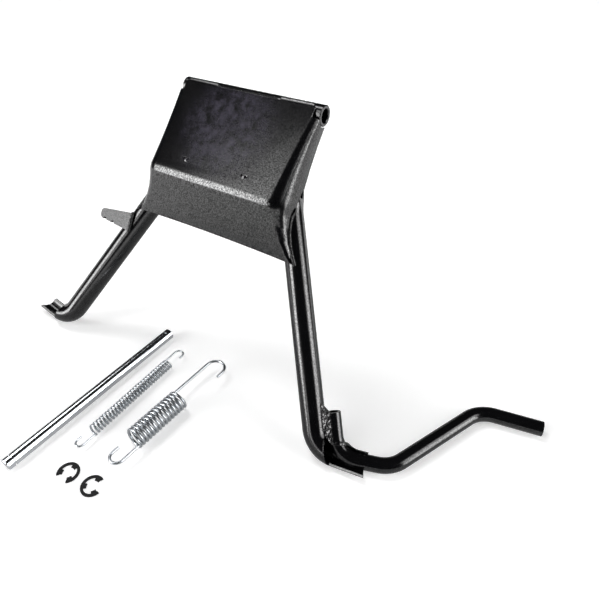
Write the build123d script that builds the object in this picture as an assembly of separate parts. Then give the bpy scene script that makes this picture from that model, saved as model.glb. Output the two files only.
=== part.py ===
# Motorcycle centre stand: two splayed tube legs under a pivot tube, joined by a pressed
# steel shield plate, with a foot lever on the right leg and a spring lug on the left leg.
# Its loose fittings lie on the floor in front of it: hinge axle, two springs, two clips.
# Millimetres. X runs along the pivot tube, -Y is the front, +Z is up.
# The origin is the middle of the pivot tube, on the axis that the stand swings on.
from build123d import *
from math import asin, atan2, cos, degrees, hypot, pi, radians, sin, tan
import os

# Attitude: the legs lean forward from the pivot down to the floor
leg_lean = 35.0

# Pivot tube and the axle that runs in it
axle_diameter = 12.0
axle_length = 200.0
axle_running_clearance = 0.05
axle_end_chamfer = 0.8
pivot_diameter = 18.5
pivot_length = 156.0
pivot_end_chamfer = 0.6

# Legs, measured down their leaning plane from the pivot axis
leg_diameter = 22.0
leg_wall = 2.0
leg_setback = 5.3
leg_top_inset = 23.4
leg_bend_half_width = 69.2
leg_bend_drop = 83.0
leg_bend_radius = 60.0
foot_half_width = 166.0
foot_drop = 279.6
foot_bend_radius = 24.0

# Feet: the lower half of the tube runs outward along the floor as an open trough
foot_length = 45.0
foot_rise = 7.0
foot_rim_drop = 6.0
foot_rim_tilt = -8.5
foot_end_skew = 23.0

# Shield plate, a pressed sheet folded along one ridge, with rolled side flanges
sheet = 2.0
ridge_drop = 86.0
ridge_stand_out = 32.0
ridge_fold_radius = 14.0
plate_bottom_drop = 132.0
plate_bottom_stand_out = 6.9
plate_bottom_arch = 2.6
plate_top_inset = 5.0
plate_waist_inset = 4.2
plate_shoulder_drop = 6.0
plate_corner_inset = 3.3
plate_waist_drop = 84.0
roll_radius_top = 6.0
roll_radius_waist = 13.5
roll_radius_bottom = 6.0
flange_relief = 0.8
tab_inset = 6.0
tab_inner_half_width = 36.0
tab_wrap = 20.0
tab_corner = 5.0
recess_wrap = 4.0
slit_half_spacing = 33.5
slit_drop = 69.4
slit_length = 7.0
slit_height = 0.8
slit_lip_height = 0.9
slit_lip_half_width = 3.6

# Spring lug, a flat plate lapped on the front of the left leg
lug_thickness = 4.0
lug_front = 8.0
lug_root_half_width = 100.5
lug_tip_half_width = 143.5
lug_root_top_drop = 137.8
lug_root_bottom_drop = 157.2
lug_tip_top_drop = 143.6
lug_tip_bottom_drop = 153.6
lug_tip_radius = 4.6
lug_notch_radius = 2.4
lug_notch_pitch = 11.5
lug_notch_from_tip = 7.5

# Foot lever, one bent tube lying on the floor behind the right foot
lever_diameter = 14.2
lever_wall = 2.2
lever_gap = 0.2
lever_setback = 9.1
lever_top_rise = 36.2
lever_low_reach = (64.8, 18.5)
lever_high_reach = (112.0, 118.2)
lever_end_reach = (168.4, 129.2)
lever_bend_radii = (24.0, 28.0, 30.0)
gusset_thickness = 3.0
gusset_front = -1.0
gusset_point = 11.0
gusset_length = 32.0
lever_weld_length = 20.0

# Weld beads
bead = 2.2
bead_small = 1.6

# Clips that hold the axle, and their grooves
clip_groove_diameter = 10.0
clip_groove_clearance = 0.05
clip_thickness = 1.2
clip_diameter = 20.0
clip_ring_width = 2.5
clip_lug_width = 4.6
clip_lug_angle = 62.0
clip_mouth_half_angle = 40.0
groove_width_clearance = 0.1
groove_from_end = 6.5

# Springs, hooked at both ends
outer_spring_diameter = 21.2
outer_spring_wire = 2.8
outer_spring_turns = 14
outer_spring_coil_length = 57.0
outer_spring_arms = (20.0, 49.0)
outer_spring_hooks = (6.8, 10.0)
outer_spring_tails = (7.0, 8.0)
inner_spring_diameter = 11.6
inner_spring_wire = 1.9
inner_spring_turns = 28
inner_spring_coil_length = 101.0
inner_spring_arms = (14.0, 15.0)
inner_spring_hooks = (4.4, 4.9)
inner_spring_tails = (5.0, 4.0)
wire_sides = 6
points_per_turn = 12

# Where the loose pieces lie on the floor, with headings in degrees from +X.
# A spring's point is the lower end of its coil, the others' is their middle.
axle_x = -54.8
axle_y = -212.5
axle_heading = 88.0
outer_spring_x = 20.7
outer_spring_y = -236.0
outer_spring_heading = 86.0
inner_spring_x = -21.8
inner_spring_y = -248.0
inner_spring_heading = 89.5
clip_a_x = -9.8
clip_a_y = -287.0
clip_a_heading = 268.0
clip_b_x = 18.2
clip_b_y = -284.5
clip_b_heading = 32.0

lean = radians(leg_lean)
leg_slope = atan2(foot_half_width - leg_bend_half_width, foot_drop - leg_bend_drop)
foot_rise_angle = atan2(foot_rise, foot_length)
foot_bend_reach = foot_bend_radius * tan((pi / 2 - leg_slope + foot_rise_angle) / 2)
foot_low_drop = (
    foot_drop - foot_bend_reach * sin(foot_rise_angle) + foot_bend_radius * (1 - cos(foot_rise_angle))
)
pivot_height = foot_low_drop * cos(lean) + leg_setback * sin(lean) + leg_diameter / 2
floor_level = -pivot_height
foot_y = leg_setback * cos(lean) - foot_drop * sin(lean)
foot_end_half_width = foot_half_width + foot_length
leg_top_half_width = pivot_length / 2 - leg_top_inset
plate_top_half_width = pivot_length / 2 - plate_top_inset
tab_half_width = pivot_length / 2 - tab_inset
plate_waist_half_width = leg_bend_half_width - plate_waist_inset
leg_at_plate_bottom = leg_bend_half_width + (plate_bottom_drop - leg_bend_drop) * tan(leg_slope)
plate_corner_half_width = leg_at_plate_bottom - plate_corner_inset
lever_top_drop = foot_drop - lever_top_rise
stand_plane = Plane(origin=(0, 0, 0), x_dir=(1, 0, 0), z_dir=(0, -cos(lean), sin(lean)))


def on_stand(across, drop, out):
    """A point given across the stand, down its leaning plane and out of its front."""
    return Vector(
        across,
        -drop * sin(lean) - out * cos(lean),
        -drop * cos(lean) + out * sin(lean),
    )


def bent_path(points, radii):
    """A line through points, with each inner corner turned into an arc."""
    points = [Vector(*p) if isinstance(p, tuple) else p for p in points]
    edges = []
    start = points[0]
    for before, corner, after, radius in zip(points, points[1:], points[2:], radii):
        arriving = (corner - before).normalized()
        leaving = (after - corner).normalized()
        turn = arriving.get_angle(leaving)
        reach = radius * tan(radians(turn) / 2)
        first = corner - arriving * reach
        last = corner + leaving * reach
        inward = (leaving - arriving).normalized()
        centre = corner + inward * hypot(radius, reach)
        edges.append(Line(start, first))
        edges.append(ThreePointArc(first, centre - inward * radius, last))
        start = last
    edges.append(Line(start, points[-1]))
    return Wire(edges)


def round_bar(path, diameter):
    """A round solid along a path."""
    start = Plane(origin=path @ 0, z_dir=path % 0) * Rot(0, 0, 180)
    return sweep(start * Circle(diameter / 2), path=path)


def bead_between(first, second, first_grown, second_grown):
    """The weld metal in the corner where two pieces meet."""
    return (first_grown & second_grown) - first - second


def pivot_outer(extra=0.0):
    """The pivot tube's outside as a solid cylinder, grown by extra."""
    return Cylinder(pivot_diameter / 2 + extra, pivot_length, rotation=(0, 90, 0))


def make_pivot_tube():
    """Plain tube with a bore that the axle turns in."""
    bore = axle_diameter / 2 + axle_running_clearance
    tube = Cylinder(pivot_diameter / 2, pivot_length) - Cylinder(bore, pivot_length)
    rims = tube.edges().filter_by(GeomType.CIRCLE)
    tube = chamfer(rims, pivot_end_chamfer)
    return Rot(0, 90, 0) * tube


def foot_point(side, past_end):
    """A point on one foot's centre line, which rises a little towards its end."""
    reach = foot_length + past_end
    drop = foot_drop - foot_rise * reach / foot_length
    return on_stand(side * (foot_half_width + reach), drop, -leg_setback)


def leg_path(side):
    """Centre line of one leg, from beside the pivot axis to past the end of its foot."""
    corners = (
        (leg_top_half_width, 0),
        (leg_bend_half_width, leg_bend_drop),
        (foot_half_width, foot_drop),
    )
    points = [on_stand(side * across, drop, -leg_setback) for across, drop in corners]
    points.append(foot_point(side, leg_diameter))
    return bent_path(points, (leg_bend_radius, foot_bend_radius))


def leg_outer(side, extra=0.0):
    """One leg's outside as a solid bar, grown by extra."""
    return round_bar(leg_path(side), leg_diameter + 2 * extra)


def foot_cutter(side):
    """What is cut off one foot: all above the rims outside the leg, and all past its end."""
    length = foot_end_half_width
    tilt = radians(foot_rim_tilt)
    end = foot_point(side, 0)
    along = (end - foot_point(side, -foot_length)).normalized()
    level = Vector(0, sin(tilt), cos(tilt))
    rim_plane = Plane(
        origin=end - Vector(0, 0, foot_rim_drop),
        x_dir=along,
        z_dir=(level - along * level.dot(along)).normalized(),
    )
    above = rim_plane * Pos(0, 0, length) * Box(4 * length, 4 * length, 2 * length)
    wall_shift = leg_diameter / 2 / cos(leg_slope)
    top = 0.0
    low = foot_drop * 1.4
    edge_top = foot_half_width + wall_shift - (foot_drop - top) * tan(leg_slope)
    edge_low = foot_half_width + wall_shift + (low - foot_drop) * tan(leg_slope)
    inboard = Polyline(
        (side * edge_top, -top),
        (side * edge_low, -low),
        (-side * length, -low),
        (-side * length, -top),
        close=True,
    )
    keep = extrude(stand_plane * make_face(inboard), length, both=True)
    end_plane = Plane(
        origin=(end.X, end.Y, end.Z),
        x_dir=(side * sin(radians(foot_end_skew)), -cos(radians(foot_end_skew)), 0),
        z_dir=(0, 0, 1),
    )
    past = end_plane * Pos(0, side * length, 0) * Box(4 * length, 2 * length, 2 * length)
    return (above - keep) + past


def make_leg(side):
    """One leg: bent tube, coped on the pivot tube, with its foot cut open as a trough."""
    path = leg_path(side)
    tube = round_bar(path, leg_diameter) - round_bar(path, leg_diameter - 2 * leg_wall)
    tube = tube - pivot_outer() - foot_cutter(side)
    if side > 0:
        tube = tube - lever_outer()
    return max(tube.solids(), key=lambda s: s.volume)


def plate_slope():
    """Slope of the upper panel: it leaves the tube as a tangent and ends on the ridge."""
    skin = pivot_diameter / 2 + sheet
    reach = hypot(ridge_drop, ridge_stand_out)
    return atan2(ridge_stand_out, ridge_drop) - asin(skin / reach)


def front_at(drop):
    """How far the plate's front face stands out at a given drop."""
    slope = plate_slope()
    fall = atan2(ridge_stand_out - plate_bottom_stand_out, plate_bottom_drop - ridge_drop)
    blend = ridge_fold_radius * tan((slope + fall) / 2)
    start = ridge_drop - blend * cos(slope)
    end = ridge_drop + blend * cos(fall)
    if drop <= start:
        return ridge_stand_out - (ridge_drop - drop) * tan(slope)
    if drop >= end:
        return ridge_stand_out - (drop - ridge_drop) * tan(fall)
    centre_drop = start + ridge_fold_radius * sin(slope)
    centre_out = front_at(start) - ridge_fold_radius * cos(slope)
    return centre_out + (ridge_fold_radius**2 - (drop - centre_drop) ** 2) ** 0.5


def half_width_at(drop):
    """Half the width of the plate's front face, narrowest at its waist."""
    if drop <= plate_waist_drop:
        share = (plate_waist_drop - drop) / plate_waist_drop
        return plate_waist_half_width + (plate_top_half_width - plate_waist_half_width) * (
            share**1.3
        )
    share = (drop - plate_waist_drop) / (plate_bottom_drop - plate_waist_drop)
    return plate_waist_half_width + (plate_corner_half_width - plate_waist_half_width) * (
        share**1.8
    )


def roll_at(drop):
    """Outer radius of the roll between the front face and the side flanges."""
    if drop <= plate_waist_drop:
        share = drop / plate_waist_drop
        return roll_radius_top + (roll_radius_waist - roll_radius_top) * share**1.6
    share = (drop - plate_waist_drop) / (plate_bottom_drop - plate_waist_drop)
    return roll_radius_waist + (roll_radius_bottom - roll_radius_waist) * share


def plate_section(drop):
    """Closed outline of the sheet at one drop: flange, roll, front face, roll, flange."""
    half = half_width_at(drop)
    roll = roll_at(drop)
    out = front_at(drop)
    back = -leg_setback
    diagonal = cos(pi / 4)

    def half_outline(offset):
        radius = roll - offset
        side_x = half + radius
        middle = out - offset - radius
        return (
            (side_x, back),
            (side_x, middle),
            (half + radius * diagonal, middle + radius * diagonal),
            (half, out - offset),
        )

    def place(across, stand_out):
        return (across, -drop, stand_out)

    edges = []
    for offset in (0.0, sheet):
        rear, low, mid, high = half_outline(offset)
        edges.append(Line(place(*rear), place(*low)))
        edges.append(ThreePointArc(place(*low), place(*mid), place(*high)))
        edges.append(Line(place(*high), place(-high[0], high[1])))
        edges.append(
            ThreePointArc(place(-high[0], high[1]), place(-mid[0], mid[1]), place(-low[0], low[1]))
        )
        edges.append(Line(place(-low[0], low[1]), place(-rear[0], rear[1])))
    outer, inner = edges[:5], edges[5:]
    first_cap = Line(outer[-1] @ 1, inner[-1] @ 1)
    last_cap = Line(inner[0] @ 0, outer[0] @ 0)
    return Wire(outer + [first_cap] + inner + [last_cap])


def plate_drops():
    """Drops at which the plate's section is set, closer together round the ridge."""
    fold = ridge_fold_radius / 2
    steps = [plate_shoulder_drop, 26.0, 46.0, 64.0]
    steps += [ridge_drop + fold * n / 2 for n in (-2, -1, 0, 1, 2)]
    left = plate_bottom_drop + sheet - steps[-1]
    return steps + [steps[-1] + left * n / 4 for n in (1, 2, 3, 4)]


def sheet_lip(half_width, wrap):
    """The sheet's upper edge: tangent to the pivot tube, then wrapped on round it."""
    slope = plate_slope()
    end = slope + radians(wrap)
    middle = slope + radians(wrap) / 2
    skin = pivot_diameter / 2

    def on_ring(radius, angle):
        return Vector(0, radius * sin(angle), radius * cos(angle))

    inner_low = Vector(0, -plate_shoulder_drop, front_at(plate_shoulder_drop) - sheet)
    outer_low = Vector(0, -plate_shoulder_drop, front_at(plate_shoulder_drop))
    outline = Wire(
        [
            Line(outer_low, on_ring(skin + sheet, slope)),
            ThreePointArc(
                on_ring(skin + sheet, slope), on_ring(skin + sheet, middle), on_ring(skin + sheet, end)
            ),
            Line(on_ring(skin + sheet, end), on_ring(skin, end)),
            ThreePointArc(on_ring(skin, end), on_ring(skin, middle), on_ring(skin, slope)),
            Line(on_ring(skin, slope), inner_low),
            Line(inner_low, outer_low),
        ]
    )
    return extrude(Pos(-half_width, 0, 0) * make_face(outline), 2 * half_width, dir=(1, 0, 0))


def plate_bottom_cut():
    """All below the plate's lower edge, which arches up a little in the middle."""
    edge = ThreePointArc(
        (-foot_half_width, -plate_bottom_drop - plate_bottom_arch),
        (0, plate_bottom_arch - plate_bottom_drop),
        (foot_half_width, -plate_bottom_drop - plate_bottom_arch),
    )
    low = -2 * plate_bottom_drop
    rim = [
        edge,
        Line(edge @ 1, (foot_half_width, low)),
        Line((foot_half_width, low), (-foot_half_width, low)),
        Line((-foot_half_width, low), edge @ 0),
    ]
    return extrude(make_face(Wire(rim)), foot_drop, both=True)


def make_shield_plate():
    """The pressed sheet: lip on the tube, upper panel, ridge, lower panel, side flanges."""
    shell = Solid.make_loft([plate_section(drop) for drop in plate_drops()], ruled=True)
    shell = shell - Cylinder(pivot_diameter / 2, pivot_length, rotation=(0, 90, 0))
    lip = sheet_lip(tab_half_width, tab_wrap)
    recess_low = (pivot_diameter / 2 + sheet) * sin(plate_slope() + radians(recess_wrap))
    recess = Pos(0, pivot_diameter + recess_low, 0) * Box(
        2 * tab_inner_half_width, 2 * pivot_diameter, 4 * pivot_diameter
    )
    body = shell + (lip - recess)
    for side in (-1, 1):
        beside = Pos(side * (tab_half_width + pivot_length / 4), 0, 0)
        relief = Cylinder(
            pivot_diameter / 2 + flange_relief, pivot_length / 2, rotation=(0, 90, 0)
        )
        body = body - beside * relief
        corner = Pos(side * tab_half_width, lip.bounding_box().max.Y, 0)
        body = body - corner * Rot(0, 0, 45) * Box(tab_corner, tab_corner, 4 * pivot_diameter)
    body = body - plate_bottom_cut()
    slit = Box(slit_length, slit_height, 6 * sheet)
    lip_radius = (slit_lip_half_width**2 + slit_lip_height**2) / (2 * slit_lip_height)
    bump = Pos(0, 0, slit_lip_height - lip_radius) * Sphere(lip_radius)
    bump = bump & Pos(0, -lip_radius, 0) * Box(2 * lip_radius, 2 * lip_radius, 2 * sheet)
    for side in (-1, 1):
        place = Pos(side * slit_half_spacing, -slit_drop, front_at(slit_drop))
        place = place * Rot(-degrees(plate_slope()), 0, 0)
        body = body + place * bump - place * slit
    body = stand_plane * body
    body = body - leg_outer(1) - leg_outer(-1)
    return max(body.solids(), key=lambda s: s.volume)


def make_spring_lug():
    """Flat lug with two notches in its lower edge, lapped on the front of the left leg."""
    low_slope = (lug_root_bottom_drop - lug_tip_bottom_drop) / (
        lug_tip_half_width - lug_root_half_width
    )
    outline = Polyline(
        (-lug_root_half_width, -lug_root_top_drop),
        (-lug_tip_half_width, -lug_tip_top_drop),
        (-lug_tip_half_width, -lug_tip_bottom_drop),
        (-lug_root_half_width, -lug_root_bottom_drop),
        close=True,
    )
    face = make_face(outline)
    tips = face.vertices().sort_by(Axis.X)[:2]
    face = fillet(tips, lug_tip_radius)
    for number in range(2):
        from_tip = lug_notch_from_tip + number * lug_notch_pitch
        low = lug_tip_bottom_drop + from_tip * low_slope
        notch = Pos(from_tip - lug_tip_half_width, -low) * Circle(lug_notch_radius)
        face = face - notch
    plate = extrude(Pos(0, 0, lug_front - lug_thickness) * face, lug_thickness)
    return stand_plane * plate - leg_outer(-1)


def lever_path():
    """Centre line of the foot lever: down beside the leg, then out and back on the floor."""
    rest = lever_diameter / 2
    apart = (leg_diameter + lever_diameter) / 2 + lever_gap
    sideways = (apart**2 - (lever_setback - leg_setback) ** 2) ** 0.5 / cos(leg_slope)

    def beside_leg(drop):
        across = leg_bend_half_width + (drop - leg_bend_drop) * tan(leg_slope) + sideways
        return on_stand(across, drop, -lever_setback)

    floor_drop = (pivot_height - lever_setback * sin(lean) - rest) / cos(lean)
    reaches = (lever_low_reach, lever_high_reach, lever_end_reach)
    corners = [(foot_half_width + x, foot_y + y, floor_level + rest) for x, y in reaches]
    points = [beside_leg(lever_top_drop), beside_leg(floor_drop)] + corners
    return bent_path(points, lever_bend_radii)


def lever_outer(extra=0.0):
    """The foot lever's outside as a solid bar, grown by extra."""
    return round_bar(lever_path(), lever_diameter + 2 * extra)


def make_foot_lever():
    """One bent tube with flat-cut ends."""
    return lever_outer() - round_bar(lever_path(), lever_diameter - 2 * lever_wall)


def make_lever_gusset():
    """Narrow web that fills the valley between the right leg and the lever's upright."""
    apart = (leg_diameter + lever_diameter) / 2 / cos(leg_slope)

    def beside(drop, sideways):
        across = leg_bend_half_width + (drop - leg_bend_drop) * tan(leg_slope)
        return (across + sideways, -drop)

    bottom = lever_top_drop + gusset_length
    outline = Polyline(
        beside(lever_top_drop - gusset_point, 0),
        beside(lever_top_drop, apart),
        beside(bottom, apart),
        beside(bottom, 0),
        close=True,
    )
    back = gusset_front - gusset_thickness
    web = stand_plane * extrude(Pos(0, 0, back) * make_face(outline), gusset_thickness)
    web = web - leg_outer(1) - lever_outer()
    return max(web.solids(), key=lambda s: s.volume)


def make_pivot_weld(side):
    """Ring of weld metal where one leg is coped on the pivot tube."""
    ring = bead_between(pivot_outer(), leg_outer(side), pivot_outer(bead), leg_outer(side, bead))
    return ring


def make_plate_weld(plate):
    """Bead along the sheet's upper edge between its two tabs."""
    angle = plate_slope() + radians(recess_wrap)
    radius = pivot_diameter / 2 + bead_small / 2
    bar = Cylinder(bead_small, 2 * tab_inner_half_width - 2 * bead, rotation=(0, 90, 0))
    bar = stand_plane * Pos(0, radius * sin(angle), radius * cos(angle)) * bar
    rest = bar - pivot_outer() - plate
    return max(rest.solids(), key=lambda s: s.volume)


def flange_seam(side, drop):
    """Where a side flange of the plate meets the leg, at one drop."""
    across = half_width_at(drop) + roll_at(drop)
    leg = leg_bend_half_width + (drop - leg_bend_drop) * tan(leg_slope)
    share = (across - leg) * cos(leg_slope) / (leg_diameter / 2)
    out = leg_diameter / 2 * (1 - share**2) ** 0.5 - leg_setback
    return on_stand(side * across, drop, out)


def make_corner_weld(side, plate):
    """Long bead that joins a side flange of the plate to the leg, down to the corner."""
    drops = (leg_bend_drop, leg_bend_drop + 16, plate_bottom_drop - 16, plate_bottom_drop)
    path = bent_path([flange_seam(side, drop) for drop in drops], (60.0, 60.0))
    bar = round_bar(path, 2 * bead)
    for end in (path @ 0, path @ 1):
        bar = bar + Pos(end.X, end.Y, end.Z) * Sphere(bead)
    rest = bar - leg_outer(side) - plate
    return max(rest.solids(), key=lambda s: s.volume)


def make_lug_weld(lug):
    """Bead along the lug's root, with its run-out towards the plate."""
    top = on_stand(-lug_root_half_width, lug_root_top_drop, lug_front - lug_thickness / 2)
    bottom = on_stand(-lug_root_half_width, lug_root_bottom_drop, lug_front - lug_thickness / 2)
    bar = round_bar(Wire([Line(top, bottom)]), 2 * bead)
    for end in (top, bottom):
        bar = bar + Pos(end.X, end.Y, end.Z) * Sphere(bead)
    rest = bar - leg_outer(-1) - lug
    return max(rest.solids(), key=lambda s: s.volume)


def lever_seam(gusset):
    """All the weld metal between the lever and the right leg."""
    lever_part = lever_outer(bead)
    seam = bead_between(leg_outer(1), lever_outer(), leg_outer(1, bead), lever_part)
    above_floor = Pos(0, 0, floor_level / 2 + bead / 2) * Box(
        2 * foot_end_half_width - 2 * bead, 4 * foot_end_half_width, pivot_height
    )
    return (seam - gusset) & above_floor


def make_lever_welds(gusset):
    """Two beads: beside the lever's upright, and where it passes the foot's rear wall."""
    seam = lever_seam(gusset)
    split = lever_top_drop + lever_weld_length
    upper = stand_plane * Pos(0, gusset_length - split, 0) * Box(
        4 * foot_end_half_width, 2 * gusset_length, 4 * leg_diameter
    )
    welds = (seam & upper, seam - upper)
    return [max(weld.solids(), key=lambda s: s.volume) for weld in welds]


def make_axle():
    """Hinge axle with a clip groove near each end, lying on the floor."""
    rod = Cylinder(axle_diameter / 2, axle_length)
    rod = chamfer(rod.edges().filter_by(GeomType.CIRCLE), axle_end_chamfer)
    width = clip_thickness + groove_width_clearance
    ring = Cylinder(axle_diameter, width) - Cylinder(clip_groove_diameter / 2, width)
    for side in (-1, 1):
        rod = rod - Pos(0, 0, side * (axle_length / 2 - groove_from_end)) * ring
    place = Pos(axle_x, axle_y, floor_level + axle_diameter / 2)
    return place * Rot(0, 0, axle_heading) * Rot(0, 90, 0) * rod


def make_clip(x, y, heading):
    """Open retaining clip with three inner lugs, lying flat."""
    outer = clip_diameter / 2
    inner = outer - clip_ring_width
    seat = clip_groove_diameter / 2 + clip_groove_clearance
    reach = 2 * outer
    half = radians(clip_mouth_half_angle)
    mouth = make_face(
        Polyline(
            (0, 0),
            (reach * cos(half), -reach * sin(half)),
            (reach * cos(half), reach * sin(half)),
            close=True,
        )
    )
    face = Circle(outer) - Circle(inner) - mouth
    for angle in (-clip_lug_angle, clip_lug_angle, 180):
        lug = Pos((outer + seat) / 2, 0) * Ellipse(outer - seat, clip_lug_width / 2)
        face = face + Rot(0, 0, angle) * lug
    face = (face & Circle(outer)) - Circle(seat)
    return Pos(x, y, floor_level) * Rot(0, 0, heading) * extrude(face, clip_thickness)


def wire_form(points, diameter):
    """A solid of wire with flat sides, along close points."""
    points = [Vector(*p) for p in points]
    tangents = []
    for number in range(len(points)):
        before = points[max(number - 1, 0)]
        after = points[min(number + 1, len(points) - 1)]
        tangents.append((after - before).normalized())
    side = Vector(0, 0, 1).cross(tangents[0]).normalized()
    sections = []
    for point, tangent in zip(points, tangents):
        side = (side - tangent * side.dot(tangent)).normalized()
        across = tangent.cross(side)
        ring = []
        for number in range(wire_sides):
            angle = 2 * pi * number / wire_sides
            ring.append(point + (side * cos(angle) + across * sin(angle)) * (diameter / 2))
        sections.append(Wire(Polyline(*ring, close=True).edges()))
    return Solid.make_loft(sections, ruled=True)


def spring_points(mean, wire, turns, coil_length, arms, hooks, tails):
    """Centre line of a hooked spring: tail, hook, arm, coil, arm, hook and tail, along +X."""
    radius = mean / 2
    bend = 1.3 * wire
    whole = turns + 0.5

    def helix(turn):
        angle = 2 * pi * turn
        return (coil_length * turn / whole, -radius * cos(angle), -radius * sin(angle))

    def hook(direction, start, side, arm, size, tail):
        centre_x = start + direction * arm
        centre_y = side * (radius - size)
        points = []
        for number in range(0, 9):
            angle = pi * number / 8
            points.append(
                (centre_x + direction * size * sin(angle), centre_y + side * size * cos(angle), 0)
            )
        x, y, z = points[-1]
        points.append((x - direction * tail, y, z))
        return points

    def corner(start_x, side, direction, joined):
        first = (start_x + direction * bend, side * radius, 0.0)
        middle = (start_x, side * radius, 0.0)
        points = []
        for share in (0.0, 0.25, 0.5, 0.75):
            points.append(
                tuple(
                    a * (1 - share) ** 2 + 2 * b * share * (1 - share) + c * share**2
                    for a, b, c in zip(first, middle, joined)
                )
            )
        return points

    lead = bend / (2 * pi * radius)
    steps = round((whole - 2 * lead) * points_per_turn)
    coil = [helix(lead + (whole - 2 * lead) * number / steps) for number in range(steps + 1)]
    lower = hook(-1, 0, -1, arms[0], hooks[0], tails[0])
    upper = hook(1, coil_length, 1, arms[1], hooks[1], tails[1])
    low_corner = corner(0.0, -1, -1, coil[0])
    high_corner = corner(coil_length, 1, 1, coil[-1])
    return lower[::-1] + low_corner + coil + high_corner[::-1] + upper


def lay_spring(diameter, x, y, heading, form):
    """One hooked spring lying on its coil."""
    return Pos(x, y, floor_level + diameter / 2) * Rot(0, 0, heading) * form


def make_outer_spring():
    """The thick return spring, short in the coil, with one long straight arm."""
    points = spring_points(
        outer_spring_diameter - outer_spring_wire,
        outer_spring_wire,
        outer_spring_turns,
        outer_spring_coil_length,
        outer_spring_arms,
        outer_spring_hooks,
        outer_spring_tails,
    )
    form = wire_form(points, outer_spring_wire)
    diameter = outer_spring_diameter
    return lay_spring(diameter, outer_spring_x, outer_spring_y, outer_spring_heading, form)


def make_inner_spring():
    """The thin return spring, which fits inside the thick one."""
    points = spring_points(
        inner_spring_diameter - inner_spring_wire,
        inner_spring_wire,
        inner_spring_turns,
        inner_spring_coil_length,
        inner_spring_arms,
        inner_spring_hooks,
        inner_spring_tails,
    )
    form = wire_form(points, inner_spring_wire)
    diameter = inner_spring_diameter
    return lay_spring(diameter, inner_spring_x, inner_spring_y, inner_spring_heading, form)


def make_stand():
    """Every piece by its name."""
    plate = make_shield_plate()
    lug = make_spring_lug()
    gusset = make_lever_gusset()
    lever_weld, foot_weld = make_lever_welds(gusset)
    return {
        "pivot_tube": make_pivot_tube(),
        "shield_plate": plate,
        "left_leg": make_leg(-1),
        "right_leg": make_leg(1),
        "foot_lever": make_foot_lever(),
        "lever_gusset": gusset,
        "spring_lug": lug,
        "pivot_weld_left": make_pivot_weld(-1),
        "pivot_weld_right": make_pivot_weld(1),
        "plate_weld": make_plate_weld(plate),
        "corner_weld_left": make_corner_weld(-1, plate),
        "corner_weld_right": make_corner_weld(1, plate),
        "lug_weld": make_lug_weld(lug),
        "lever_weld": lever_weld,
        "foot_weld": foot_weld,
        "axle": make_axle(),
        "axle_clip_a": make_clip(clip_a_x, clip_a_y, clip_a_heading),
        "axle_clip_b": make_clip(clip_b_x, clip_b_y, clip_b_heading),
        "outer_spring": make_outer_spring(),
        "inner_spring": make_inner_spring(),
    }


os.makedirs("parts", exist_ok=True)
for name, piece in make_stand().items():
    export_step(piece, f"parts/{name}.step")
    print(name, round(piece.volume))
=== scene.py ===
# Motorcycle centre stand with its loose axle, springs and clips: surfaces, light and camera.
import bpy
import bmesh
from math import atan2, cos, pi, radians, sin, tan
from mathutils import Matrix, Vector


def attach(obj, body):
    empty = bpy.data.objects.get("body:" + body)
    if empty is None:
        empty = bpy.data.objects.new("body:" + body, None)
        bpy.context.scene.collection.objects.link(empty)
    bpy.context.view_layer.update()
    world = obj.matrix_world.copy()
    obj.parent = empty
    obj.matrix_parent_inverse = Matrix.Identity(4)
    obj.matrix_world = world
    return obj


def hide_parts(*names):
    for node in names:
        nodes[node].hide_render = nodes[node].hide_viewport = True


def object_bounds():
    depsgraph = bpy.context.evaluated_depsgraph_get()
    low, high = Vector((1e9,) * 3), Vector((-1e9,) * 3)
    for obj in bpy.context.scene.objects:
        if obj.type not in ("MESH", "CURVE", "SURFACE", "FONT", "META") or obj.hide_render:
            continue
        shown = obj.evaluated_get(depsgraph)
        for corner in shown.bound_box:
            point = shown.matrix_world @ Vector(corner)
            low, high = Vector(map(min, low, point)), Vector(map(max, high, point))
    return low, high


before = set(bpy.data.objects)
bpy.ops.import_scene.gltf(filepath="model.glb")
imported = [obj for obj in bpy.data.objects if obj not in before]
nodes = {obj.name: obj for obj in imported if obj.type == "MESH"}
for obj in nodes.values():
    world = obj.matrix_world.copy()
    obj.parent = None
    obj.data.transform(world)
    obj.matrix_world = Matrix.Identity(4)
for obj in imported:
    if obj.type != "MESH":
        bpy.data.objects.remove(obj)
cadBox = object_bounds()
scene = bpy.context.scene
floorLevel = cadBox[0].z  # the stand and the loose pieces all rest on the floor
mm = 0.001
print("frame loaded:", len(nodes), "nodes")

# The stand leans back by this much, and its sizes are across, down and out of its own plane
standLean = radians(35)
outOfStand = Vector((0, -cos(standLean), sin(standLean)))
downStand = Vector((0, -sin(standLean), -cos(standLean)))


def onStand(across, drop, out):
    return mm * (Vector((across, 0, 0)) + drop * downStand + out * outOfStand)


def hexColour(code):
    # From sRGB hex to the linear colour that a shader takes
    parts = [int(code[i:i + 2], 16) / 255 for i in (1, 3, 5)]
    linear = [c / 12.92 if c <= 0.04045 else ((c + 0.055) / 1.055) ** 2.4 for c in parts]
    return (*linear, 1.0)


def addNode(tree, kind, values=None):
    # A key is one of the node's properties, or the name or number of an input. A socket is linked
    node = tree.nodes.new(kind)
    for key, value in (values or {}).items():
        if isinstance(value, bpy.types.NodeSocket):
            tree.links.new(value, node.inputs[key])
        elif isinstance(key, str) and hasattr(node, key):
            setattr(node, key, value)
        else:
            node.inputs[key].default_value = value
    return node


def newMaterial(name):
    material = bpy.data.materials.new(name)
    material.use_nodes = True
    tree = material.node_tree
    tree.nodes.clear()
    place = addNode(tree, "ShaderNodeTexCoord").outputs["Object"]
    return material, tree, place


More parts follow.
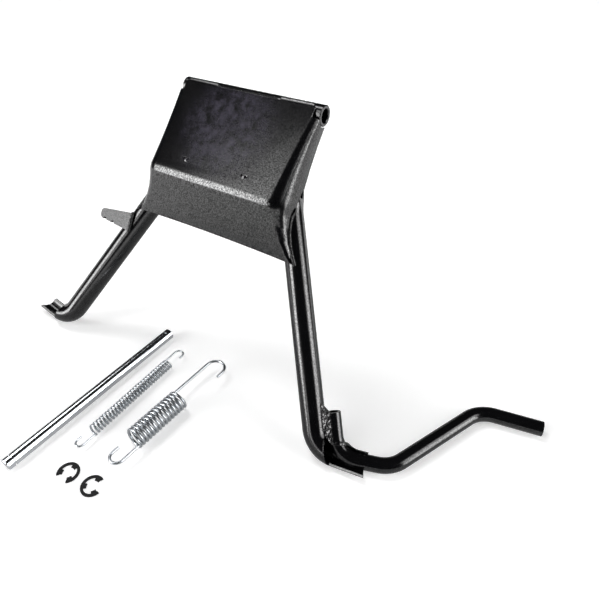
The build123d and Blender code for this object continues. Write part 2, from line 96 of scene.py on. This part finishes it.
powderCoat = {
    "colour": "#0c0c0e",
    "deepColour": "#060607",
    "toneSize": 28.0,  # mm across one patch of the deeper colour
    "roughness": (0.12, 0.18),
    "ior": 1.6,
    "shine": 0.5,  # the middle of the shader's range
    "peelSize": 2.6,  # mm between the soft bumps of the flowed powder
    "peelHeight": 0.012,  # mm
    "peelStrength": 0.35,
    "grainSize": 1.2,  # mm across one speck; the real grain is finer, and wouldn't show
    "grainRange": (0.3, 0.7),  # noise values that make the darkest and the brightest speck
    "grainDepth": 0.22,  # how far the specks move the shine up and down
    "cornerRound": 0.8,  # mm that the coat rounds each edge by
}
shieldPlate = {
    "grain": 1.6,  # times the grain of the plain coat
    "dull": 0.02,  # added to the plain coat's roughness
    "smoothAngle": 20.0,  # degrees between faces that still look like one
    "paintedReflection": 0.55,  # strength of the painted bluish reflection
    "paintedReflectionColour": "#55515f",
    "paintedReflectionMiddle": (-0.006, -0.032, -0.018),  # metres, a little left of the upper panel's middle
    "paintedReflectionReach": 0.062,  # metres
    "paintedReflectionCore": 0.35,  # share of the reach that is bloomed in full
    "cloudSize": 9.0,  # mm across one cloud of the painted reflection
    "cloudRange": (0.36, 0.66),  # noise values where a cloud starts and where it is full
    "bulge": 0.38,  # how far the side flanges' normals lean out at the front edge
    "bulgeBack": 1 / 3,  # share of it that they lean the other way at the back edge
    "bulgeFrom": -6.0,  # mm out of the stand's plane, where the roundness starts and ends
    "bulgeTo": 13.0,
    "bulgeFacing": (0.72, 0.95),  # how far sideways a face looks where it starts and is full
}
springLug = {"dull": 0.2}  # added to the plain coat's roughness
weld = {
    "lumpSize": 4.5,  # mm across one lump
    "lumpHeight": 1.6,  # mm
    "sides": 12,
    "step": 0.22,  # mm between the rings of a bead
    "ripplePitch": 1.5,  # mm
    "rippleShare": 0.3,  # of the bead's radius, that a ripple dips by
    "taper": 1.6,  # mm that an end narrows over
    "plateRadius": 1.4,  # mm
    "sideRadius": 2.1,
}


def withPaintedReflection(tree, place, colour):
    # Painted reflection: a bluish sheen of the room painted into the colour, in small clouds round
    # one place on the upper panel
    cloud = addNode(tree, "ShaderNodeTexNoise", {
        "Scale": 1 / (shieldPlate["cloudSize"] * mm), "Detail": 6.0, "Roughness": 0.68,
        "Vector": place,
    })
    patch = addNode(tree, "ShaderNodeMapRange", {
        "From Min": shieldPlate["cloudRange"][0], "From Max": shieldPlate["cloudRange"][1],
        "To Max": shieldPlate["paintedReflection"], "Value": cloud.outputs["Fac"],
    })
    away = addNode(tree, "ShaderNodeVectorMath", {
        "operation": "DISTANCE", 0: place, 1: shieldPlate["paintedReflectionMiddle"],
    })
    inside = addNode(tree, "ShaderNodeMapRange", {
        "interpolation_type": "SMOOTHSTEP", "From Min": shieldPlate["paintedReflectionReach"],
        "From Max": shieldPlate["paintedReflectionReach"] * shieldPlate["paintedReflectionCore"],
        "Value": away.outputs["Value"],
    })
    both = addNode(tree, "ShaderNodeMath", {
        "operation": "MULTIPLY", 0: patch.outputs["Result"], 1: inside.outputs["Result"],
    })
    cloudy = addNode(tree, "ShaderNodeMix", {
        "data_type": "RGBA", 0: both.outputs[0], 6: colour,
        7: hexColour(shieldPlate["paintedReflectionColour"]),
    })
    return cloudy.outputs[2]


def flangeNormal(tree, place, normal):
    # The side flanges are pressed a little round: their normals lean out toward the front edge
    front = addNode(tree, "ShaderNodeVectorMath", {
        "operation": "DOT_PRODUCT", 0: place, 1: outOfStand,
    })
    lean = addNode(tree, "ShaderNodeMapRange", {
        "From Min": shieldPlate["bulgeFrom"] * mm, "From Max": shieldPlate["bulgeTo"] * mm,
        "To Min": -shieldPlate["bulge"] * shieldPlate["bulgeBack"], "To Max": shieldPlate["bulge"],
        "Value": front.outputs["Value"],
    })
    facing = addNode(tree, "ShaderNodeNewGeometry").outputs["True Normal"]
    across = addNode(tree, "ShaderNodeSeparateXYZ", {0: facing}).outputs["X"]
    sideways = addNode(tree, "ShaderNodeMath", {"operation": "ABSOLUTE", 0: across})
    onFlange = addNode(tree, "ShaderNodeMapRange", {
        "interpolation_type": "SMOOTHSTEP", "From Min": shieldPlate["bulgeFacing"][0],
        "From Max": shieldPlate["bulgeFacing"][1], "Value": sideways.outputs[0],
    })
    amount = addNode(tree, "ShaderNodeMath", {
        "operation": "MULTIPLY", 0: lean.outputs["Result"], 1: onFlange.outputs["Result"],
    })
    push = addNode(tree, "ShaderNodeVectorMath", {
        "operation": "SCALE", 0: outOfStand, "Scale": amount.outputs[0],
    })
    leaned = addNode(tree, "ShaderNodeVectorMath", {
        "operation": "ADD", 0: normal, 1: push.outputs["Vector"],
    })
    unit = addNode(tree, "ShaderNodeVectorMath", {
        "operation": "NORMALIZE", 0: leaned.outputs["Vector"],
    })
    return unit.outputs["Vector"]


def weldNormal(tree, place, normal):
    # The uneven pool of a hand-laid weld under the paint
    pool = addNode(tree, "ShaderNodeTexNoise", {
        "Scale": 1 / (weld["lumpSize"] * mm), "Detail": 2.0, "Vector": place,
    })
    lumps = addNode(tree, "ShaderNodeBump", {
        "Strength": 1.0, "Distance": weld["lumpHeight"] * mm, "Height": pool.outputs["Fac"],
        "Normal": normal,
    })
    return lumps.outputs["Normal"]


def makePowderCoat(name, grain=1.0, dull=0.0, changeColour=None, changeNormal=None):
    # Gloss black polyester powder, sprayed and stoved: deep black, sharp lights, faint orange peel
    material, tree, place = newMaterial(name)
    wide = addNode(tree, "ShaderNodeTexNoise", {
        "Scale": 1 / (powderCoat["toneSize"] * mm), "Detail": 3.0, "Vector": place,
    })
    tone = addNode(tree, "ShaderNodeMix", {
        "data_type": "RGBA", 0: wide.outputs["Fac"], 6: hexColour(powderCoat["deepColour"]),
        7: hexColour(powderCoat["colour"]),
    })
    colour = tone.outputs[2]
    if changeColour:
        colour = changeColour(tree, place, colour)
    rough = addNode(tree, "ShaderNodeMapRange", {
        "To Min": powderCoat["roughness"][0] + dull, "To Max": powderCoat["roughness"][1] + dull,
        "Value": wide.outputs["Fac"],
    })
    specks = addNode(tree, "ShaderNodeTexNoise", {
        "Scale": 1 / (powderCoat["grainSize"] * mm), "Detail": 1.0, "Vector": place,
    })
    middle = powderCoat["shine"]
    depth = powderCoat["grainDepth"] * grain
    shine = addNode(tree, "ShaderNodeMapRange", {
        "From Min": powderCoat["grainRange"][0], "From Max": powderCoat["grainRange"][1],
        "To Min": middle - depth, "To Max": middle + depth, "Value": specks.outputs["Fac"],
    })
    peel = addNode(tree, "ShaderNodeTexNoise", {
        "Scale": 1 / (powderCoat["peelSize"] * mm), "Detail": 1.0, "Vector": place,
    })
    corner = addNode(tree, "ShaderNodeBevel", {
        "samples": 4, "Radius": powderCoat["cornerRound"] * mm,
    })
    flowed = addNode(tree, "ShaderNodeBump", {
        "Strength": powderCoat["peelStrength"], "Distance": powderCoat["peelHeight"] * mm,
        "Height": peel.outputs["Fac"], "Normal": corner.outputs[0],
    })
    normal = flowed.outputs["Normal"]
    if changeNormal:
        normal = changeNormal(tree, place, normal)
    shader = addNode(tree, "ShaderNodeBsdfPrincipled", {
        "IOR": powderCoat["ior"], "Base Color": colour, "Roughness": rough.outputs["Result"],
        "Normal": normal, "Specular IOR Level": shine.outputs["Result"],
    })
    addNode(tree, "ShaderNodeOutputMaterial", {"Surface": shader.outputs[0]})
    return material


plainCoat = makePowderCoat("glossBlackPowderCoat")
# The shield plate's coat has a bluish reflection of the room painted into its colour
plateCoat = makePowderCoat(
    "paintedReflectionBlackPowderCoat", grain=shieldPlate["grain"], dull=shieldPlate["dull"],
    changeColour=withPaintedReflection, changeNormal=flangeNormal,
)
weldCoat = makePowderCoat("weldBlackPowderCoat", changeNormal=weldNormal)
lugCoat = makePowderCoat("satinBlackPowderCoat", dull=springLug["dull"])

zincPlate = {
    "toneSize": 9.0,  # mm across one patch of the paler tone
    "lineSize": 1.2,  # mm across one line; real drawing lines are finer, and wouldn't show
    "lineDepth": 0.004,  # mm
    "lineStrength": 0.25,
}
axle = {
    "colours": ("#ccd0d4", "#e8eaed"),
    "roughness": (0.1, 0.24),
    "stretch": (1.0, 0.08, 1.0),  # the lines run along the bar
}
springWire = {
    "colours": ("#b8bdc2", "#dadee2"),
    "roughness": (0.26, 0.4),
    "stretch": (1.0, 1.0, 1.0),
    "smallerBy": 0.995,  # keeps the round wire inside the box of the solids
    "sides": 12,
    "step": 0.22,  # share of the wire's diameter between its rings
    "stepsPerTurn": 30,
    "bend": 1.3,  # share of the wire's diameter that a bend at the coil's end takes
}
clip = {
    "colours": ("#08080a", "#141416"),
    "roughness": (0.35, 0.55),
    "ior": 1.3,  # low, so that the bright room doesn't grey the black
    "patchSize": 3.0,  # mm across one patch of the paler tone
}


def makeZinc(name, part):
    # Bright zinc plate on drawn steel: near mirror, cool white, with fine drawing lines
    material, tree, place = newMaterial(name)
    cloud = addNode(tree, "ShaderNodeTexNoise", {
        "Scale": 1 / (zincPlate["toneSize"] * mm), "Detail": 3.0, "Vector": place,
    })
    tone = addNode(tree, "ShaderNodeMix", {
        "data_type": "RGBA", 0: cloud.outputs["Fac"], 6: hexColour(part["colours"][0]),
        7: hexColour(part["colours"][1]),
    })
    stretch = addNode(tree, "ShaderNodeMapping", {"Scale": part["stretch"], "Vector": place})
    lines = addNode(tree, "ShaderNodeTexNoise", {
        "Scale": 1 / (zincPlate["lineSize"] * mm), "Detail": 2.0,
        "Vector": stretch.outputs["Vector"],
    })
    rough = addNode(tree, "ShaderNodeMapRange", {
        "To Min": part["roughness"][0], "To Max": part["roughness"][1],
        "Value": lines.outputs["Fac"],
    })
    drawn = addNode(tree, "ShaderNodeBump", {
        "Strength": zincPlate["lineStrength"], "Distance": zincPlate["lineDepth"] * mm,
        "Height": lines.outputs["Fac"],
    })
    shader = addNode(tree, "ShaderNodeBsdfPrincipled", {
        "Metallic": 1.0, "Base Color": tone.outputs[2], "Roughness": rough.outputs["Result"],
        "Normal": drawn.outputs["Normal"],
    })
    addNode(tree, "ShaderNodeOutputMaterial", {"Surface": shader.outputs[0]})
    return material


def makeBlackenedSteel(name):
    # Hardened spring steel, oil-blackened: dark, satin, slightly patchy
    material, tree, place = newMaterial(name)
    cloud = addNode(tree, "ShaderNodeTexNoise", {
        "Scale": 1 / (clip["patchSize"] * mm), "Detail": 4.0, "Vector": place,
    })
    tone = addNode(tree, "ShaderNodeMix", {
        "data_type": "RGBA", 0: cloud.outputs["Fac"], 6: hexColour(clip["colours"][0]),
        7: hexColour(clip["colours"][1]),
    })
    rough = addNode(tree, "ShaderNodeMapRange", {
        "To Min": clip["roughness"][0], "To Max": clip["roughness"][1],
        "Value": cloud.outputs["Fac"],
    })
    shader = addNode(tree, "ShaderNodeBsdfPrincipled", {
        "IOR": clip["ior"], "Base Color": tone.outputs[2], "Roughness": rough.outputs["Result"],
    })
    addNode(tree, "ShaderNodeOutputMaterial", {"Surface": shader.outputs[0]})
    return material


zincBar = makeZinc("brightZincTurnedBar", axle)
zincWire = makeZinc("brightZincSpringWire", springWire)
blackenedSteel = makeBlackenedSteel("blackenedSpringSteel")
print("materials made")

smoothAngle = 32.0  # degrees between faces that still look like one
mergeWithin = 0.002  # mm


def smoothCopy(node, material, angle=smoothAngle):
    # A piece with the shape of its CAD node, with its own material and shading
    mesh = nodes[node].data.copy()
    mesh.materials.clear()
    mesh.materials.append(material)
    body = bmesh.new()
    body.from_mesh(mesh)
    bmesh.ops.remove_doubles(body, verts=body.verts, dist=mergeWithin * mm)
    body.to_mesh(mesh)
    body.free()
    if "custom_normal" in mesh.attributes:
        mesh.attributes.remove(mesh.attributes["custom_normal"])
    mesh.shade_smooth()
    mesh.set_sharp_from_angle(angle=radians(angle))
    piece = bpy.data.objects.new(node + "_finish", mesh)
    scene.collection.objects.link(piece)
    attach(piece, "root")
    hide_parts(node)


for node in ("pivot_tube", "left_leg", "right_leg", "foot_lever"):
    smoothCopy(node, plainCoat)
smoothCopy("spring_lug", lugCoat)
smoothCopy("shield_plate", plateCoat, angle=shieldPlate["smoothAngle"])
for node in ("lever_gusset", "lever_weld", "foot_weld"):
    smoothCopy(node, weldCoat)
smoothCopy("axle", zincBar)
for node in ("axle_clip_a", "axle_clip_b"):
    smoothCopy(node, blackenedSteel)
print("tubes, plate and loose pieces finished")


def addInput(tree, name, kind, value=None):
    socket = tree.interface.new_socket(name, in_out="INPUT", socket_type=kind)
    if value is not None:
        socket.default_value = value
    return socket.identifier


rippleDrift = 6.25  # mm along a bead over which its ripples drift out of step
endOpening = 0.02  # keeps the last ring of a bar from closing to a point


def makeBarTree():
    # Sweeps a round section along a line; ripples dent it at even steps, and its ends taper
    tree = bpy.data.node_groups.new("roundBarAlongLine", "GeometryNodeTree")
    ids = {
        "line": addInput(tree, "Line", "NodeSocketGeometry"),
        "radius": addInput(tree, "Radius", "NodeSocketFloat", 1.0 * mm),
        "sides": addInput(tree, "Sides", "NodeSocketInt", 12),
        "step": addInput(tree, "Step", "NodeSocketFloat", 0.3 * mm),
        "pitch": addInput(tree, "Ripple Pitch", "NodeSocketFloat", 1.6 * mm),
        "ripple": addInput(tree, "Ripple Share", "NodeSocketFloat", 0.0),
        "taper": addInput(tree, "End Taper", "NodeSocketFloat", 0.01 * mm),
        "material": addInput(tree, "Material", "NodeSocketMaterial"),
    }
    tree.interface.new_socket("Mesh", in_out="OUTPUT", socket_type="NodeSocketGeometry")
    given = addNode(tree, "NodeGroupInput").outputs
    spread = addNode(tree, "GeometryNodeResampleCurve", {
        "mode": "LENGTH", "Curve": given["Line"], "Length": given["Step"],
    })
    along = addNode(tree, "GeometryNodeSplineParameter").outputs["Length"]
    whole = addNode(tree, "GeometryNodeSplineLength").outputs["Length"]
    turns = addNode(tree, "ShaderNodeMath", {
        "operation": "DIVIDE", 0: along, 1: given["Ripple Pitch"],
    })
    drift = addNode(tree, "ShaderNodeTexNoise", {"Scale": 1 / (rippleDrift * mm), "Detail": 1.0})
    late = addNode(tree, "ShaderNodeMath", {
        "operation": "ADD", 0: turns.outputs[0], 1: drift.outputs[0],
    })
    saw = addNode(tree, "ShaderNodeMath", {"operation": "FRACT", 0: late.outputs[0]})
    dent = addNode(tree, "ShaderNodeMath", {
        "operation": "MULTIPLY", 0: saw.outputs[0], 1: given["Ripple Share"],
    })
    full = addNode(tree, "ShaderNodeMath", {"operation": "SUBTRACT", 0: 1.0, 1: dent.outputs[0]})
    rest = addNode(tree, "ShaderNodeMath", {"operation": "SUBTRACT", 0: whole, 1: along})
    nearest = addNode(tree, "ShaderNodeMath", {
        "operation": "MINIMUM", 0: rest.outputs[0], 1: along,
    })
    share = addNode(tree, "ShaderNodeMath", {
        "operation": "DIVIDE", "use_clamp": True, 0: nearest.outputs[0], 1: given["End Taper"],
    })
    opened = addNode(tree, "ShaderNodeMath", {
        "operation": "ADD", 0: share.outputs[0], 1: endOpening,
    })
    rounded = addNode(tree, "ShaderNodeMath", {"operation": "SQRT", 0: opened.outputs[0]})
    size = addNode(tree, "ShaderNodeMath", {
        "operation": "MULTIPLY", 0: full.outputs[0], 1: rounded.outputs[0],
    })
    radius = addNode(tree, "ShaderNodeMath", {
        "operation": "MULTIPLY", 0: size.outputs[0], 1: given["Radius"],
    })
    section = addNode(tree, "GeometryNodeCurvePrimitiveCircle", {
        "Radius": 1.0, "Resolution": given["Sides"],
    })
    bar = addNode(tree, "GeometryNodeCurveToMesh", {
        "Fill Caps": True, "Curve": spread.outputs[0], "Profile Curve": section.outputs[0],
        "Scale": radius.outputs[0],
    })
    smooth = addNode(tree, "GeometryNodeSetShadeSmooth", {0: bar.outputs[0]})
    real = addNode(tree, "GeometryNodeRealizeInstances", {0: smooth.outputs[0]})
    dressed = addNode(tree, "GeometryNodeSetMaterial", {
        "Geometry": real.outputs[0], "Material": given["Material"],
    })
    addNode(tree, "NodeGroupOutput", {0: dressed.outputs[0]})
    return tree, ids


barTree, barIds = makeBarTree()


def lineObject(name, points):
    curve = bpy.data.curves.new(name, "CURVE")
    curve.dimensions = "3D"
    spline = curve.splines.new("POLY")
    spline.points.add(len(points) - 1)
    for point, place in zip(spline.points, points):
        point.co = (*place, 1.0)
    line = bpy.data.objects.new(name + "_line", curve)
    scene.collection.objects.link(line)
    return line


def barAlong(name, points, material, node, values):
    line = lineObject(name, points)
    modifier = line.modifiers.new("bar", "NODES")
    modifier.node_group = barTree
    for key, value in values.items():
        modifier[barIds[key]] = value
    modifier[barIds["material"]] = material
    bpy.context.view_layer.update()
    drawn = line.evaluated_get(bpy.context.evaluated_depsgraph_get())
    mesh = bpy.data.meshes.new_from_object(drawn)
    bpy.data.objects.remove(line)
    piece = bpy.data.objects.new(name, mesh)
    scene.collection.objects.link(piece)
    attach(piece, "root")
    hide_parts(node)


# Sizes in mm. Arms, hooks' radii and tails are the low end's and the high end's. The place is x
# and y in mm and the heading in degrees
outerSpring = {
    "diameter": 21.2,
    "wire": 2.8,
    "turns": 14,
    "coil": 57.0,
    "arms": (20.0, 49.0),
    "hooks": (6.8, 10.0),
    "tails": (7.0, 8.0),
    "place": (20.7, -236.0, 86.0),
}
innerSpring = {
    "diameter": 11.6,
    "wire": 1.9,
    "turns": 28,
    "coil": 101.0,
    "arms": (14.0, 15.0),
    "hooks": (4.4, 4.9),
    "tails": (5.0, 4.0),
    "place": (-21.8, -248.0, 89.5),
}
hookSteps = 16
bendSteps = 8


def springLine(spring):
    # Tail, hook, arm, coil, arm, hook and tail, in millimetres along +X, then laid in place
    radius = (spring["diameter"] - spring["wire"]) / 2
    length = spring["coil"]
    whole = spring["turns"] + 0.5  # the half turn puts the two hooks on opposite sides
    bend = springWire["bend"] * spring["wire"]
    lead = bend / (2 * pi * radius)

    def coilPoint(turn):
        angle = 2 * pi * turn
        return Vector((length * turn / whole, -radius * cos(angle), -radius * sin(angle)))

    def hook(direction, start, side, arm, size, tail):
        centre = Vector((start + direction * arm, side * (radius - size), 0))
        points = []
        for n in range(hookSteps + 1):
            angle = pi * n / hookSteps
            points.append(
                centre + Vector((direction * size * sin(angle), side * size * cos(angle), 0))
            )
        return points + [points[-1] - Vector((direction * tail, 0, 0))]

    def corner(start, side, direction, joined):
        first = Vector((start + direction * bend, side * radius, 0))
        middle = Vector((start, side * radius, 0))
        shares = [n / bendSteps for n in range(bendSteps)]
        return [
            first * (1 - t) ** 2 + middle * 2 * t * (1 - t) + joined * t * t for t in shares
        ]

    steps = round((whole - 2 * lead) * springWire["stepsPerTurn"])
    coil = [coilPoint(lead + (whole - 2 * lead) * n / steps) for n in range(steps + 1)]
    low = hook(-1, 0, -1, spring["arms"][0], spring["hooks"][0], spring["tails"][0])
    high = hook(1, length, 1, spring["arms"][1], spring["hooks"][1], spring["tails"][1])
    points = low[::-1] + corner(0, -1, -1, coil[0]) + coil
    points += corner(length, 1, 1, coil[-1])[::-1] + high
    x, y, heading = spring["place"]
    lay = Matrix.Translation((x * mm, y * mm, floorLevel + spring["diameter"] / 2 * mm))
    lay = lay @ Matrix.Rotation(radians(heading), 4, "Z")
    return [lay @ (point * mm) for point in points]


for name, node, spring in (
    ("thickSpring", "outer_spring", outerSpring),
    ("thinSpring", "inner_spring", innerSpring),
):
    values = {
        "radius": spring["wire"] / 2 * mm * springWire["smallerBy"],
        "sides": springWire["sides"],
        "step": spring["wire"] * springWire["step"] * mm,
    }
    barAlong(name, springLine(spring), zincWire, node, values)
print("springs wound")

# The parts of the stand that the beads follow, in mm: each pair is across and down
seam = {
    "legRadius": 11.0,
    "legSetback": 5.3,  # that the legs' centres lie behind the stand's plane
    "legBend": (69.2, 83.0),
    "foot": (166.0, 279.6),
    "plateWaist": (65.0, 84.0),
    "plateCorner": (90.0, 132.0),
    "spreadPower": 1.8,  # how late the plate's side swings out from the waist to the corner
    "rolls": (13.5, 6.0),  # radius of the flange's roll at the waist and at the corner
    "proudAcross": 0.5,  # that the bead's centre stands off the corner of flange and leg
    "proudOut": 0.3,
    "steps": 8,
    "topHalfWidth": 33.5,  # of the bead between the plate and the pivot tube
    "topFromAxis": 10.1,
    "topAngle": 17.36,  # degrees up from straight out, round the pivot tube
    "lugAcross": -100.2,
    "lugDrops": (136.5, 147.0, 158.5),
    "lugOut": 7.4,
}


def flangeSeam(side):
    # Where a side flange of the plate meets the leg
    bendAcross, bendDrop = seam["legBend"]
    foot, footDrop = seam["foot"]
    waist, waistDrop = seam["plateWaist"]
    corner, bottom = seam["plateCorner"]
    waistRoll, cornerRoll = seam["rolls"]
    slope = atan2(foot - bendAcross, footDrop - bendDrop)
    points = []
    for n in range(seam["steps"] + 1):
        drop = bendDrop + (bottom - bendDrop) * n / seam["steps"]
        share = max(0.0, (drop - waistDrop) / (bottom - waistDrop))
        across = waist + (corner - waist) * share ** seam["spreadPower"]
        across += waistRoll + (cornerRoll - waistRoll) * share
        leg = bendAcross + (drop - bendDrop) * tan(slope)
        reach = (across - leg) * cos(slope) / seam["legRadius"]
        out = seam["legRadius"] * (1 - reach**2) ** 0.5 - seam["legSetback"]
        points.append(
            onStand(side * (across + seam["proudAcross"]), drop, out + seam["proudOut"])
        )
    return points


def topSeam():
    # Where the plate's top edge meets the pivot tube
    angle = radians(seam["topAngle"])
    rise = seam["topFromAxis"] * sin(angle)
    out = seam["topFromAxis"] * cos(angle)
    return [onStand(side * seam["topHalfWidth"], -rise, out) for side in (-1, 0, 1)]


def lugSeam():
    # Down the spring lug's foot, on the left leg
    return [onStand(seam["lugAcross"], drop, seam["lugOut"]) for drop in seam["lugDrops"]]


for node, points, radius in (
    ("plate_weld", topSeam(), weld["plateRadius"]),
    ("lug_weld", lugSeam(), weld["sideRadius"]),
    ("corner_weld_left", flangeSeam(-1), weld["sideRadius"]),
    ("corner_weld_right", flangeSeam(1), weld["sideRadius"]),
):
    values = {
        "radius": radius * mm,
        "sides": weld["sides"],
        "step": weld["step"] * mm,
        "pitch": weld["ripplePitch"] * mm,
        "ripple": weld["rippleShare"],
        "taper": weld["taper"] * mm,
    }
    barAlong(node + "_bead", points, weldCoat, node, values)
for node in ("pivot_weld_left", "pivot_weld_right"):
    smoothCopy(node, weldCoat)
print("welds laid")

stage = {
    "size": 9.0,  # metres
    "whiteness": 0.82,
    "glow": 0.44,  # light of its own that only the camera sees, up to white
    "nearGlow": 0.42,  # painted reflection of the floor that paint and zinc mirror, close by (dimmed as painted shade) and far off
    "farGlow": 1.45,
    "nearReach": 0.2,  # metres from the pivot, level with the floor
    "farReach": 0.62,
}


def makeStage():
    # White card floor, lit by the lamp. The camera sees it white but for the soft shadows, and
    # the pieces mirror a painted reflection of it: dim close by as painted shade, bright far off
    mesh = bpy.data.meshes.new("floor")
    half = stage["size"] / 2
    corners = [(-half, -half), (half, -half), (half, half), (-half, half)]
    mesh.from_pydata([(x, y, floorLevel) for x, y in corners], [], [(0, 1, 2, 3)])
    floor = bpy.data.objects.new("floor", mesh)
    scene.collection.objects.link(floor)
    material, tree, place = newMaterial("whiteCard")
    white = stage["whiteness"]
    matt = addNode(tree, "ShaderNodeBsdfDiffuse", {"Color": (white, white, white, 1.0)})
    flat = addNode(tree, "ShaderNodeMapping", {"Scale": (1.0, 1.0, 0.0), "Vector": place})
    reach = addNode(tree, "ShaderNodeVectorMath", {"operation": "LENGTH", 0: flat.outputs[0]})
    # Painted reflection: the glow that mirrors see grows from dim near the pivot, as painted
    # shade, to bright far off
    mirrored = addNode(tree, "ShaderNodeMapRange", {
        "interpolation_type": "SMOOTHSTEP", "From Min": stage["nearReach"],
        "From Max": stage["farReach"], "To Min": stage["nearGlow"], "To Max": stage["farGlow"],
        "Value": reach.outputs["Value"],
    })
    ray = addNode(tree, "ShaderNodeLightPath").outputs
    shown = addNode(tree, "ShaderNodeMath", {
        "operation": "MULTIPLY", 0: ray["Is Camera Ray"], 1: stage["glow"],
    })
    glow = addNode(tree, "ShaderNodeEmission", {"Strength": shown.outputs[0]})
    both = addNode(tree, "ShaderNodeAddShader", {0: matt.outputs[0], 1: glow.outputs[0]})
    mirror = addNode(tree, "ShaderNodeEmission", {"Strength": mirrored.outputs["Result"]})
    pick = addNode(tree, "ShaderNodeMixShader", {
        0: ray["Is Glossy Ray"], 1: both.outputs[0], 2: mirror.outputs[0],
    })
    addNode(tree, "ShaderNodeOutputMaterial", {"Surface": pick.outputs[0]})
    mesh.materials.append(material)


# Round soft boxes as patches of the sky: the way to each, the half angle in degrees that is full
# and the one where it ends, and its radiance
softBoxes = {
    "sheen": {"toward": (-0.45, -0.50, 0.74), "full": 6, "end": 15, "radiance": 3.6},
    "right": {"toward": (0.96, 0.20, 0.18), "full": 12, "end": 22, "radiance": 8.0},
    "rightHigh": {"toward": (0.80, 0.22, 0.56), "full": 10, "end": 18, "radiance": 5.0},
    "rims": {"toward": (-0.42, 0.18, 0.889), "full": 5, "end": 10, "radiance": 8.0},
    "leftRims": {"toward": (-0.58, 0.12, 0.806), "full": 4, "end": 8, "radiance": 6.0},
    "gusset": {"toward": (-0.26, -0.94, 0.22), "full": 4, "end": 9, "radiance": 4.0},
}
# A tall strip light at the front left. It stands at one slant to the stand's width, and its
# height is an angle in degrees round that width, from the horizon in front
stripLight = {
    "slant": -0.6,
    "halfWidth": 0.115,
    "softness": 0.06,
    "fullHeight": 35.0,
    "endHeight": 50.0,
    "falloff": 2.0,
    "radiance": 12.5,
}
room = 0.02  # radiance of the dim room between the lights


def makeSky():
    # A dim room with the soft boxes and the strip light, shown white to the camera itself
    world = bpy.data.worlds.new("studio")
    scene.world = world
    world.use_nodes = True
    tree = world.node_tree
    tree.nodes.clear()
    place = addNode(tree, "ShaderNodeTexCoord").outputs["Generated"]
    radiance = room
    for box in softBoxes.values():
        near = addNode(tree, "ShaderNodeVectorMath", {
            "operation": "DOT_PRODUCT", 0: place, 1: Vector(box["toward"]).normalized(),
        })
        shape = addNode(tree, "ShaderNodeMapRange", {
            "From Min": cos(radians(box["end"])), "From Max": cos(radians(box["full"])),
            "Value": near.outputs["Value"],
        })
        lit = addNode(tree, "ShaderNodeMath", {
            "operation": "MULTIPLY_ADD", 0: shape.outputs["Result"], 1: box["radiance"],
            2: radiance,
        })
        radiance = lit.outputs[0]
    axes = addNode(tree, "ShaderNodeSeparateXYZ", {0: place}).outputs
    off = addNode(tree, "ShaderNodeMath", {
        "operation": "SUBTRACT", 0: axes["X"], 1: stripLight["slant"],
    })
    aside = addNode(tree, "ShaderNodeMath", {"operation": "ABSOLUTE", 0: off.outputs[0]})
    width = addNode(tree, "ShaderNodeMapRange", {
        "From Min": stripLight["halfWidth"] + stripLight["softness"],
        "From Max": stripLight["halfWidth"], "Value": aside.outputs[0],
    })
    forward = addNode(tree, "ShaderNodeMath", {"operation": "MULTIPLY", 0: axes["Y"], 1: -1.0})
    height = addNode(tree, "ShaderNodeMath", {
        "operation": "ARCTAN2", 0: axes["Z"], 1: forward.outputs[0],
    })
    fade = addNode(tree, "ShaderNodeMapRange", {
        "From Min": radians(stripLight["endHeight"]),
        "From Max": radians(stripLight["fullHeight"]), "Value": height.outputs[0],
    })
    soft = addNode(tree, "ShaderNodeMath", {
        "operation": "POWER", 0: fade.outputs["Result"], 1: stripLight["falloff"],
    })
    strip = addNode(tree, "ShaderNodeMath", {
        "operation": "MULTIPLY", 0: width.outputs["Result"], 1: soft.outputs[0],
    })
    radiance = addNode(tree, "ShaderNodeMath", {
        "operation": "MULTIPLY_ADD", 0: strip.outputs[0], 1: stripLight["radiance"], 2: radiance,
    })
    studio = addNode(tree, "ShaderNodeBackground", {"Strength": radiance.outputs[0]})
    plain = addNode(tree, "ShaderNodeBackground", {
        "Color": (1.0, 1.0, 1.0, 1.0), "Strength": 1.0,
    })
    ray = addNode(tree, "ShaderNodeLightPath").outputs
    pick = addNode(tree, "ShaderNodeMixShader", {
        0: ray["Is Camera Ray"], 1: studio.outputs[0], 2: plain.outputs[0],
    })
    addNode(tree, "ShaderNodeOutputWorld", {"Surface": pick.outputs[0]})


# One large lamp from the left and above casts the soft shadows; gloss paint doesn't mirror it
keyLamp = {
    "place": (-0.9, 0.25, 1.3),  # metres
    "aim": (0.0, -0.15, -0.2),
    "size": (0.8, 0.8),
    "power": 9.0,  # watts
}


def makeLamp():
    light = bpy.data.lights.new("keyLamp", "AREA")
    light.shape = "RECTANGLE"
    light.size, light.size_y = keyLamp["size"]
    light.energy = keyLamp["power"]
    holder = bpy.data.objects.new("keyLamp", light)
    holder.location = keyLamp["place"]
    toward = Vector(keyLamp["aim"]) - Vector(keyLamp["place"])
    holder.rotation_euler = toward.to_track_quat("-Z", "Y").to_euler()
    holder.visible_glossy = False
    scene.collection.objects.link(holder)


# Close wide view from the front right and well above, found by fitting the stand to the photo
photoView = {
    "sensor": 36.0,  # mm
    "lens": 29.785,
    "clipStart": 0.02,  # metres
    "place": (0.286517, -0.380625, 0.156587),
    "right": (0.851382, 0.524545, 0.000876),
    "up": (-0.339050, 0.549033, 0.763942),
}


def makeCamera():
    lens = bpy.data.cameras.new("camera")
    lens.sensor_width = photoView["sensor"]
    lens.lens = photoView["lens"]
    lens.clip_start = photoView["clipStart"]
    camera = bpy.data.objects.new("camera", lens)
    right = Vector(photoView["right"])
    up = Vector(photoView["up"])
    turn = Matrix((right, up, right.cross(up))).transposed().to_4x4()
    camera.matrix_world = Matrix.Translation(photoView["place"]) @ turn
    scene.collection.objects.link(camera)
    scene.camera = camera


makeStage()
makeSky()
makeLamp()
makeCamera()
scene.view_settings.view_transform = "Standard"
print("studio set")
